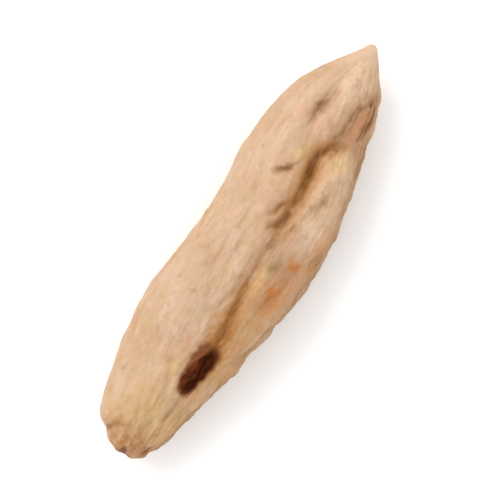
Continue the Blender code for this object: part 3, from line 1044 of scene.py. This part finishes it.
# %% Main tree: to metres, centred as the solid is, with its material
plan_left, plan_right = np.array(OUTLINE).T[1:]
plan_centre = (LENGTH / 2.0, (plan_left.max() + plan_right.min()) / 2.0)
to_centre = (-plan_centre[0] * MM, -plan_centre[1] * MM, 0.0)
placed = {"Translation": to_centre, "Scale": (MM, MM, MM)}
geometry = add(tree, "GeometryNodeTransform", Geometry=geometry, **placed).outputs[0]
for kind in ("GeometryNodeSetShadeSmooth", "GeometryNodeRealizeInstances"):
    geometry = add(tree, kind, Geometry=geometry).outputs[0]
coated = add(tree, "GeometryNodeSetMaterial", Geometry=geometry, Material=given["Skin"]).outputs[0]
tree.links.new(coated, gives["Geometry"])
print("dried_root:", len(tree.nodes), "nodes")

# %% [markdown]
# ## The skin
#
# Dried ophiopogon skin is a warm cream that turns tan and brown wherever the surface sinks. No single colour is
# right for it. The material starts from cream, clouds it with tan, rose and straw, and then darkens it by the
# attributes that the tree kept: the valleys of the fine ridges, the folds, the crease, the pit and the stains. One
# node group makes all the clouds, each with its own size, stretch and seed. The clouds are read in the object's
# own space, as if they went right through the flesh, so they are not drawn together at the two ends.

# %% Shader group: clouds that can be stretched along the root
CLOUD_ROUGHNESS = 0.6

clouds_group, given, gives = new_group(
    "clouds",
    "ShaderNodeTree",
    {"Place": VECTOR, "Along": 1.0, "Across": 1.0, "Detail": 3.0, "From": 0.4, "To": 0.6, "Seed": 0.0},
    {"Cloud": FLOAT},
)


def stepped(tree, mask, low, high):
    """A mask that goes smoothly from 0 to 1 between two of its own values."""
    smoothly = {"interpolation_type": "SMOOTHSTEP"}
    return add(tree, "ShaderNodeMapRange", smoothly, Value=mask, From_Min=low, From_Max=high).outputs["Result"]


tree = clouds_group
along_scale, across_scale = (maths(tree, "DIVIDE", 1.0, given[name]) for name in ("Along", "Across"))
squeeze = add(tree, "ShaderNodeCombineXYZ", X=along_scale, Y=across_scale, Z=across_scale).outputs[0]
squeezed = vector_maths(tree, "MULTIPLY", given["Place"], squeeze)
cloud_detail = {"Detail": given["Detail"], "Roughness": CLOUD_ROUGHNESS}
cloud_noise = seeded_noise(tree, squeezed, given["Seed"], Scale=1.0, **cloud_detail)
tree.links.new(stepped(tree, cloud_noise, given["From"], given["To"]), gives["Cloud"])
print("clouds:", len(tree.nodes), "nodes")

# %% Helpers to read masks and clouds
skin = bpy.data.materials.new("root_skin")
skin.use_nodes = True
tree = skin.node_tree
shader = tree.nodes["Principled BSDF"]
flesh_place = add(tree, "ShaderNodeTexCoord").outputs["Object"]
flesh_place = vector_maths(tree, "SCALE", flesh_place, scale=1.0 / MM)


def attribute(name, output="Fac"):
    """Reads an attribute of the mesh in the skin material."""
    return add(tree, "ShaderNodeAttribute", {"attribute_name": name}).outputs[output]


def cloud(along, across, seed, start=0.40, end=0.60, detail=3.0, at=None):
    """A field of clouds from 0 to 1; along and across are a cloud's size in mm, start and end set its contrast."""
    at = flesh_place if at is None else at
    shape = {"Along": along, "Across": across, "Detail": detail, "From": start, "To": end, "Seed": seed}
    return group_node(tree, clouds_group, Place=at, **shape)["Cloud"]


def times(share, strength):
    """A mask made weaker or stronger, by a number or by another mask."""
    return maths(tree, "MULTIPLY", share, strength)


print("root_skin:", len(tree.nodes), "nodes")

# %% Helpers to lay colours over one another
# The light on the root's upper side is brighter than a screen's white, so the paint is darker than what is seen
PAINT_SHARE = 0.81


def layer(under, over, share):
    """Lays a second colour over the first by a mask or a number."""
    node = add(tree, "ShaderNodeMix", {"data_type": "RGBA"})
    for socket, value in zip([s for s in node.inputs if s.enabled], (share, under, over)):
        feed(tree, socket, value)
    return [s for s in node.outputs if s.enabled][0]


def paint(red, green, blue):
    """The skin's own colour where it should look like this on a screen in this light."""
    seen = srgb(red, green, blue)
    return (*(value * PAINT_SHARE for value in seen[:3]), 1.0)


def tinted(under, rows):
    """Lays colours over one another; each row has the colour as seen, its mask and its strength."""
    for seen, mask, strength in rows:
        under = layer(under, paint(*seen), times(mask, strength))
    return under


print("paint of white:", [round(value, 2) for value in paint(255, 255, 255)])

# %% Skin colour: clouds over a cream ground
CREAM = (217, 184, 155)
sunken, rough = attribute("sunken"), attribute("rough")
blotches = times(cloud(0.8, 0.45, seed=17.0, start=0.50, end=0.68, detail=4.0), rough)
clouded = (
    ((205, 166, 131), cloud(3.4, 2.0, seed=1.0, start=0.36, end=0.64), 1.0),
    ((221, 173, 142), cloud(0.9, 0.7, seed=2.0, start=0.50, end=0.66), 0.60),
    ((203, 172, 121), cloud(0.9, 0.7, seed=3.0, start=0.50, end=0.66), 0.55),
    ((228, 200, 170), cloud(0.9, 0.6, seed=4.0, start=0.48, end=0.76), 0.60),
    ((178, 136, 98), cloud(0.6, 0.4, seed=5.0, start=0.54, end=0.74), 0.60),
    ((182, 136, 92), sunken, 0.40),
    ((190, 146, 104), blotches, 0.55),
)
ground = tinted(paint(*CREAM), clouded)
print("root_skin:", len(tree.nodes), "nodes")

# %% Skin colour: threads, specks, soiled places and painted shade on the right flank
# How much of the painted shade on the right flank is left in its lightest patches
FLANK_SHADE_LEAST = 0.4
threads = times(cloud(5.0, 0.14, seed=6.0, start=0.50, end=0.72, at=attribute("unrolled", "Vector")), rough)
dimples = times(stepped(tree, attribute("dimple"), 0.55, 0.95), rough)
specks = times(cloud(0.30, 0.18, seed=11.0, start=0.58, end=0.84), cloud(3.0, 2.0, seed=13.0))
underside = maths(tree, "SUBTRACT", 1.0, attribute("upper"))
soiled = times(cloud(2.6, 1.1, seed=15.0, start=0.56, end=0.72, detail=4.0), underside)
patchy_flank_shade = maths(tree, "ADD", FLANK_SHADE_LEAST, times(cloud(2.2, 0.6, seed=16.0), 1.0 - FLANK_SHADE_LEAST))
marked = (
    ((172, 131, 94), threads, 0.40),
    ((176, 132, 90), times(attribute("ridge_valley"), rough), 0.30),
    ((190, 142, 96), dimples, 0.40),
    ((140, 98, 64), specks, 0.55),
    ((184, 128, 78), soiled, 0.60),
    # Painted shade on the lower right flank, which faces away from the light, made patchy by a cloud
    ((154, 112, 64), times(attribute("flank_painted_shade"), patchy_flank_shade), 0.75),
)
ground = tinted(ground, marked)
print("root_skin:", len(tree.nodes), "nodes")

# %% Skin colour: the placed stains, and the painted highlight below the crease
STAIN_COLOURS = {
    "tan": ((198, 149, 94), 0.75),
    "pale": ((234, 200, 168), 0.90),
    "rose": ((226, 176, 148), 0.60),
    # Straw tone, and the painted highlight on the lit wall below the crease
    "straw": ((230, 192, 124), 0.85),
    "dusk": ((156, 128, 90), 0.70),
    "rust": ((206, 120, 40), 1.0),
    "ochre": ((166, 100, 34), 1.0),
    "hollow_brown": ((208, 142, 96), 1.0),
}
patchy = cloud(0.55, 0.35, seed=7.0, start=0.28, end=0.60, detail=5.0)
stains_and_highlight = [(seen, times(attribute(name), patchy), strength) for name, (seen, strength) in STAIN_COLOURS.items()]
colour = tinted(ground, stains_and_highlight)
print("root_skin:", len(tree.nodes), "nodes")

# %% Darken the folds, the crease, the pit and the blunt end
BROKEN_LEAST = 0.3
scar, pit = attribute("scar"), attribute("pit")
torn = times(scar, cloud(0.4, 0.16, seed=8.0, start=0.42, end=0.60))
broken = cloud(1.1, 0.16, seed=12.0, start=0.32, end=0.62, detail=4.0)
broken = maths(tree, "ADD", times(broken, 1.0 - BROKEN_LEAST), BROKEN_LEAST)
decayed = cloud(0.6, 0.25, seed=14.0, start=0.35, end=0.60, detail=4.0)
darkened = (
    ((176, 122, 72), scar, 0.8),
    ((110, 68, 38), torn, 0.9),
    ((104, 56, 22), stepped(tree, attribute("scab"), 0.0, 0.9), 0.85),
    ((190, 142, 92), attribute("fold_halo"), 0.60),
    ((146, 98, 58), attribute("fold_core"), 0.85),
    ((200, 138, 58), times(attribute("crease_halo"), broken), 1.0),
    ((150, 96, 44), times(attribute("crease_core"), broken), 0.95),
    ((140, 80, 26), stepped(tree, attribute("ledge"), 0.15, 0.75), 0.95),
    ((158, 98, 52), stepped(tree, pit, 0.15, 0.50), 1.0),
    ((146, 74, 28), stepped(tree, pit, 0.50, 0.80), 1.0),
    ((102, 46, 13), times(stepped(tree, pit, 0.62, 0.92), decayed), 1.0),
)
colour = tinted(colour, darkened)
tree.links.new(colour, shader.inputs["Base Color"])
print("root_skin:", len(tree.nodes), "nodes")

# %% Skin finish: matte, a little light in the flesh, fine threads and grain
LEAST_ROUGHNESS = 0.58
ROUGHNESS_SPREAD = 0.18
GRAIN_HEIGHT = 0.6
THREAD_HEIGHT = 0.5
FLESH = {
    "Specular IOR Level": 0.3,
    "Subsurface Weight": 0.10,
    "Subsurface Radius": (1.0, 0.55, 0.3),
    "Subsurface Scale": 0.4 * MM,
}
for input_name, value in FLESH.items():
    shader.inputs[input_name].default_value = value
roughness = maths(tree, "ADD", LEAST_ROUGHNESS, times(cloud(1.2, 0.6, seed=9.0), ROUGHNESS_SPREAD))
grain = cloud(0.20, 0.13, seed=10.0, start=0.2, end=0.8, detail=4.0)
height = maths(tree, "SUBTRACT", times(grain, GRAIN_HEIGHT), times(threads, THREAD_HEIGHT))
bump = add(tree, "ShaderNodeBump", Strength=0.5, Distance=0.05 * MM, Height=height)
tree.links.new(roughness, shader.inputs["Roughness"])
tree.links.new(bump.outputs["Normal"], shader.inputs["Normal"])
print("root_skin:", len(tree.nodes), "nodes")

# %% [markdown]
# ## Run the tree and keep its result
#
# The modifier's inputs are set before the object is first evaluated, each by its socket's own identifier. The
# result is then copied to a plain mesh, so that nothing live is left, and the helpers are deleted.

# %% Grow the finished root
settings = {
    "Crease Line": crease_line,
    "Fold Lines": fold_lines,
    "Ridge Depth": 0.13,
    "Ridge Spacing": 0.60,
    "Ridge Length": 3.5,
    "Pebble Depth": 0.16,
    "Pebble Spacing": 1.0,
    "Seed": 3.0,
    "Skin": skin,
}
modifier = bare.modifiers.new("dried_root", "NODES")
modifier.node_group = root_tree
for item in root_tree.interface.items_tree:
    if item.in_out == "INPUT" and item.name in settings:
        modifier[item.identifier] = settings[item.name]

evaluated = bare.evaluated_get(bpy.context.evaluated_depsgraph_get())
root_mesh = bpy.data.meshes.new_from_object(evaluated)
root_mesh.name = "dried_root_skin"
root = bpy.data.objects.new("dried_root_skin", root_mesh)
bpy.context.scene.collection.objects.link(root)
for helper in (bare, crease_line, fold_lines):
    bpy.data.objects.remove(helper)
root_mesh.calc_loop_triangles()
corners = np.array([corner[:] for corner in root.bound_box])
print("dried root:", len(root_mesh.loop_triangles), "triangles; mm:", (np.ptp(corners, axis=0) / MM).round(2))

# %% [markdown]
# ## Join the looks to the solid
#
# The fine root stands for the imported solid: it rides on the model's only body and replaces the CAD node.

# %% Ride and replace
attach(root, "root")
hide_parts(CAD_NODE)
